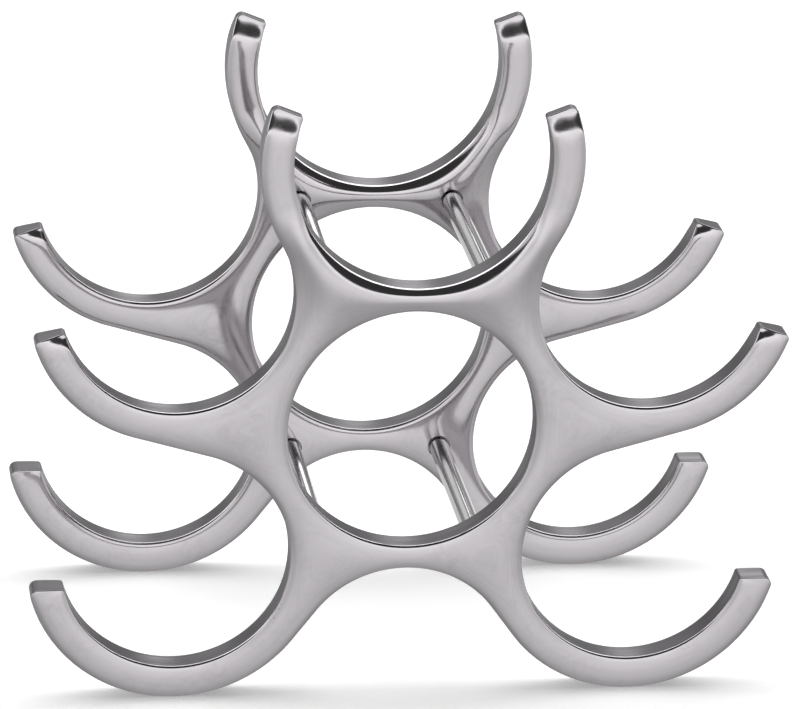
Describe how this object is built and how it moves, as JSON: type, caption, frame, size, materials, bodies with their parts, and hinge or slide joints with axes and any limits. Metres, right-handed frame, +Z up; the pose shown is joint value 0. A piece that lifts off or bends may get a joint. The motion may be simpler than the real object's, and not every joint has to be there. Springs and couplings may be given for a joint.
{
  "type": "wine rack",
  "caption": "Free-standing wine rack: cast aluminium panels of open cradles packed round a closed ring and joined by round rods, to hold bottles lying on their sides.",
  "frame": {"origin": "on the surface the rack stands on, under the middle of the rack", "axes": "+X across the panels to the right as seen from the front, +Y from the front panel to the rear panel, along the bottles, +Z up"},
  "size_m": [0.2732, 0.126, 0.2239],
  "materials": {
    "panel_aluminium": "cast aluminium, domed faces polished bright with faint buffing marks, flat inner walls belt-ground satin",
    "rod_aluminium": "drawn round rod, polished bright",
    "screw_steel": "plain stainless steel, turned"
  },
  "bodies": {
    "root": {"front_panel": "panel_aluminium", "rear_panel": "panel_aluminium", "rod_upper_left": "rod_aluminium", "rod_upper_right": "rod_aluminium", "rod_lower_left": "rod_aluminium", "rod_lower_right": "rod_aluminium", "screw_upper_left": "screw_steel", "screw_upper_right": "screw_steel", "screw_lower_left": "screw_steel", "screw_lower_right": "screw_steel"}
  },
  "joints": []
}
